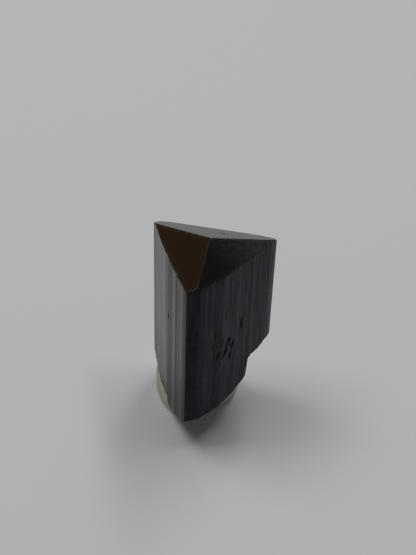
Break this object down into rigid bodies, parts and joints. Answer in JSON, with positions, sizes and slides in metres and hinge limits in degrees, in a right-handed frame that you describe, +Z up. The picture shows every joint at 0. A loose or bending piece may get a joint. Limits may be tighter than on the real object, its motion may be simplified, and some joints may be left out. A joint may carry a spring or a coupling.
{
  "type": "tourmaline crystal",
  "caption": "Black tourmaline crystal: a striated three-sided prism with a low pyramid on top and a stepped broken base, stood upright on a small pad of mounting putty.",
  "frame": {"origin": "on the surface the part stands on, under the middle of the whole part's box", "axes": "+Z up, along the crystal's long axis from the broken base to the pyramid's tip; -Y is the side from which the front edge and the two smooth sides show; +X to the right of that"},
  "size_m": [0.0096, 0.0096, 0.018],
  "materials": {
    "schorl": "black, glassy on the pyramid faces, satin and finely grooved lengthwise on the prism sides",
    "putty": "matt cream-yellow mounting putty, pressed by hand"
  },
  "bodies": {
    "root": {"tourmaline_crystal": "schorl", "mounting_putty": "putty"}
  },
  "joints": []
}
